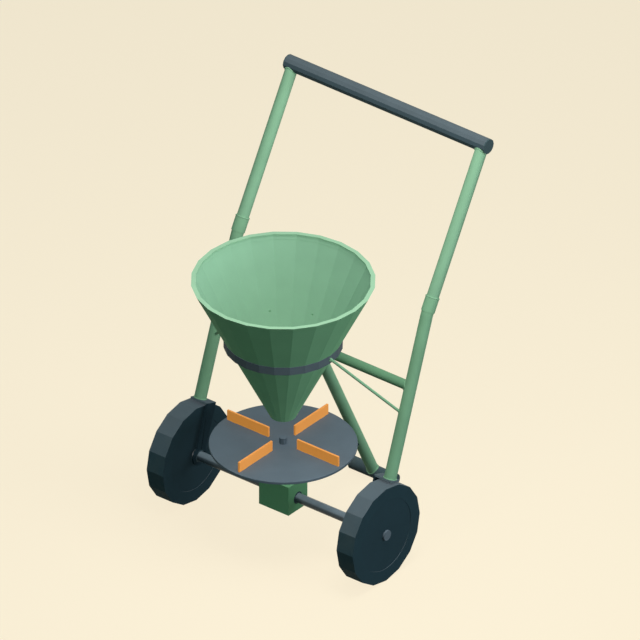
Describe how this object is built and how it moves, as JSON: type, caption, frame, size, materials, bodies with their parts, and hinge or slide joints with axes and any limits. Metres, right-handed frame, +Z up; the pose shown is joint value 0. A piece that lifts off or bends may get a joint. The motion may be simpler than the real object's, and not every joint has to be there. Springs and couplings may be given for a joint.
{
  "type": "broadcast spreader",
  "caption": "Walk-behind broadcast spreader with a faceted cone hopper, sliding shutter, wheel-driven spinner disc with upright vanes, tube frame, stand leg and handle bar.",
  "frame": {"origin": "on the ground, in the middle of the bounding box's base", "axes": "+X along the axle towards the driven wheel, +Y back towards the operator, +Z up"},
  "size_m": [0.6316, 0.635, 1.03],
  "materials": {
    "sage_paint": "semi-gloss powder coat, sage green",
    "mint_paint": "semi-gloss powder coat, light mint",
    "green_paint": "semi-gloss powder coat, green",
    "slate_paint": "satin powder coat, slate",
    "dark_paint": "satin powder coat, dark slate",
    "orange_paint": "semi-gloss powder coat, orange",
    "cast_housing": "painted casting, green",
    "steel": "machined",
    "zinc_steel": "zinc plated",
    "bronze": "sintered bronze, oiled",
    "tyre_rubber": "matt, dark slate",
    "plug_plastic": "matt, dark slate"
  },
  "bodies": {
    "frame": {"hopper": "sage_paint", "hopper_hem": "mint_paint", "support_ring": "slate_paint", "ring_screws": "sage_paint", "gate_seat": "dark_paint", "gate_keeper": "dark_paint", "gate_rivets": "zinc_steel", "gate_screws": "zinc_steel", "rail_left": "green_paint", "rail_right": "green_paint", "handle_tube_left": "green_paint", "handle_tube_right": "green_paint", "joint_bolts": "zinc_steel", "handle_bar": "slate_paint", "handle_plugs": "plug_plastic", "crossbar": "green_paint", "ring_posts": "green_paint", "brace_rod_left": "green_paint", "brace_rod_right": "green_paint", "stand_leg": "green_paint", "foot_bar": "slate_paint", "foot_plugs": "plug_plastic", "axle_bracket_left": "dark_paint", "axle_bracket_right": "dark_paint", "bracket_bushes": "bronze", "gearbox_housing": "cast_housing", "gearbox_cover": "cast_housing", "cover_screws": "zinc_steel", "gearbox_bushes": "bronze", "tower_bushes": "bronze", "torque_strut": "dark_paint", "strut_screw": "zinc_steel"},
    "axle": {"axle": "steel", "axle_caps": "slate_paint", "axle_spacers": "steel", "crown_gear": "steel", "crown_pin": "steel", "wheel_shells_right": "dark_paint", "wheel_hub_right": "steel", "tyre_right": "tyre_rubber"},
    "free_wheel": {"wheel_shells_left": "dark_paint", "wheel_hub_left": "steel", "wheel_bush_left": "bronze", "tyre_left": "tyre_rubber"},
    "spinner": {"spinner_shaft": "steel", "pinion": "steel", "pinion_pin": "steel", "spinner_disc": "slate_paint", "disc_hub": "dark_paint", "hub_pin": "steel", "shaft_nut": "dark_paint", "vane_right": "orange_paint", "vane_rear": "orange_paint", "vane_left": "orange_paint", "vane_front": "orange_paint"},
    "gate": {"gate_blade": "zinc_steel"}
  },
  "joints": [
    {"name": "axle_spin", "type": "hinge", "parent": "frame", "child": "axle", "pos_m": [0, -0.0985, 0.127], "axis": [1, 0, 0], "continuous": true},
    {"name": "free_wheel_spin", "type": "hinge", "parent": "axle", "child": "free_wheel", "pos_m": [-0.287, -0.0985, 0.127], "axis": [1, 0, 0], "continuous": true},
    {"name": "spinner_spin", "type": "hinge", "parent": "frame", "child": "spinner", "pos_m": [0, -0.0985, 0.262], "axis": [0, 0, 1], "continuous": true},
    {"name": "gate_slide", "type": "slide", "parent": "frame", "child": "gate", "axis": [0, 1, 0], "range_m": [0, 0.05]}
  ],
  "couplings": [
    {"joint": "spinner_spin", "follows": "axle_spin", "ratio": -2.3333}
  ]
}
